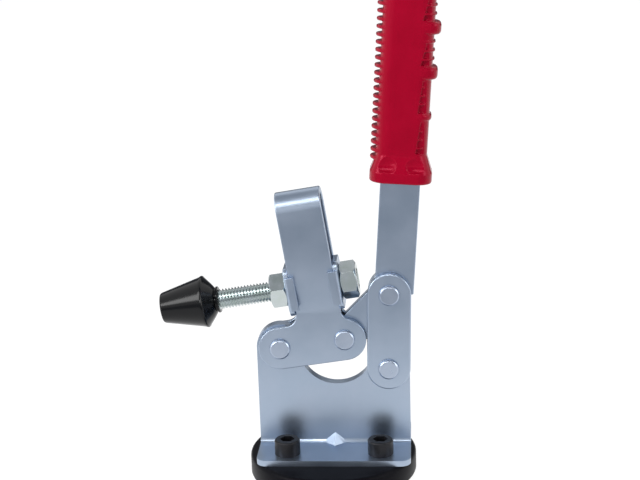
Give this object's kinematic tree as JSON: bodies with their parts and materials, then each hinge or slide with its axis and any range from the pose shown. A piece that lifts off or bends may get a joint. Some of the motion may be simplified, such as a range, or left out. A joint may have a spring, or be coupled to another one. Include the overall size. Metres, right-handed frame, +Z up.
{
  "type": "toggle clamp",
  "caption": "Horizontal-hold toggle clamp with an upright moulded grip and a rubber-tipped spindle on a slotted arm, standing on a round rubber-coated magnet.",
  "frame": {"origin": "centre of the magnet's bottom face", "axes": "+Z up, out of the magnet's top; +X along the upright base plates, away from the rubber tip; +Y away from the front"},
  "size_m": [0.1134, 0.066, 0.2249],
  "materials": {
    "coating": "satin black rubber coat",
    "mild_steel": "plain steel, hidden inside the coat",
    "magnet_alloy": "nickel-plated magnet, hidden inside the coat",
    "black_steel": "black oxide",
    "zinc_sheet": "bright zinc plate, slightly blue",
    "zinc_rivet": "bright zinc plate",
    "zinc_bright": "bright zinc plate with a faint yellow-green tint",
    "grip_plastic": "glossy red moulded plastic",
    "tip_rubber": "glossy black moulded rubber"
  },
  "bodies": {
    "base": {"magnet_jacket": "coating", "magnet_back_plate": "mild_steel", "magnet_disc_1": "magnet_alloy", "magnet_disc_2": "magnet_alloy", "magnet_disc_3": "magnet_alloy", "magnet_disc_4": "magnet_alloy", "magnet_disc_5": "magnet_alloy", "magnet_disc_6": "magnet_alloy", "magnet_disc_7": "magnet_alloy", "magnet_disc_8": "magnet_alloy", "threaded_bush_1": "mild_steel", "threaded_bush_2": "mild_steel", "threaded_bush_3": "mild_steel", "threaded_bush_4": "mild_steel", "base_screw_1": "black_steel", "base_screw_2": "black_steel", "base_screw_3": "black_steel", "base_screw_4": "black_steel", "base_plate_front": "zinc_sheet", "base_plate_rear": "zinc_sheet", "arm_pivot_rivet": "zinc_rivet"},
    "arm": {"clamp_arm": "zinc_sheet", "arm_lever_rivet": "zinc_rivet"},
    "lever": {"lever": "zinc_sheet", "lever_grip": "grip_plastic"},
    "links": {"link_front": "zinc_sheet", "link_rear": "zinc_sheet", "link_lever_rivet": "zinc_rivet", "link_pivot_rivet": "zinc_rivet"},
    "carriage": {"flanged_washer_tip_side": "zinc_bright", "flanged_washer_end_side": "zinc_bright", "spindle_nut_tip_side": "zinc_bright", "spindle_nut_end_side": "zinc_bright"},
    "spindle": {"spindle": "zinc_bright", "rubber_tip": "tip_rubber"}
  },
  "joints": [
    {"name": "arm_hinge", "type": "hinge", "parent": "base", "child": "arm", "pos_m": [-0.0196, 0.002, 0.051], "axis": [0, -1, 0], "range_deg": [0, 84.4]},
    {"name": "lever_hinge", "type": "hinge", "parent": "arm", "child": "lever", "pos_m": [0.00575, 0.002, 0.05456], "axis": [0, 1, 0], "range_deg": [0, 168]},
    {"name": "link_hinge", "type": "hinge", "parent": "lever", "child": "links", "pos_m": [0.02346, 0.002, 0.07249], "axis": [0, -1, 0], "range_deg": [0, 136.7]},
    {"name": "spindle_height", "type": "slide", "parent": "arm", "child": "carriage", "axis": [-0.1478, 0, 0.989], "range_m": [0, 0.031]},
    {"name": "spindle_screw", "type": "slide", "parent": "carriage", "child": "spindle", "axis": [-0.989, 0, -0.1478], "range_m": [-0.0025, 0.0015]}
  ],
  "couplings": [
    {"joint": "lever_hinge", "follows": "arm_hinge", "ratio": 1.9896},
    {"joint": "link_hinge", "follows": "arm_hinge", "ratio": 1.6185}
  ]
}
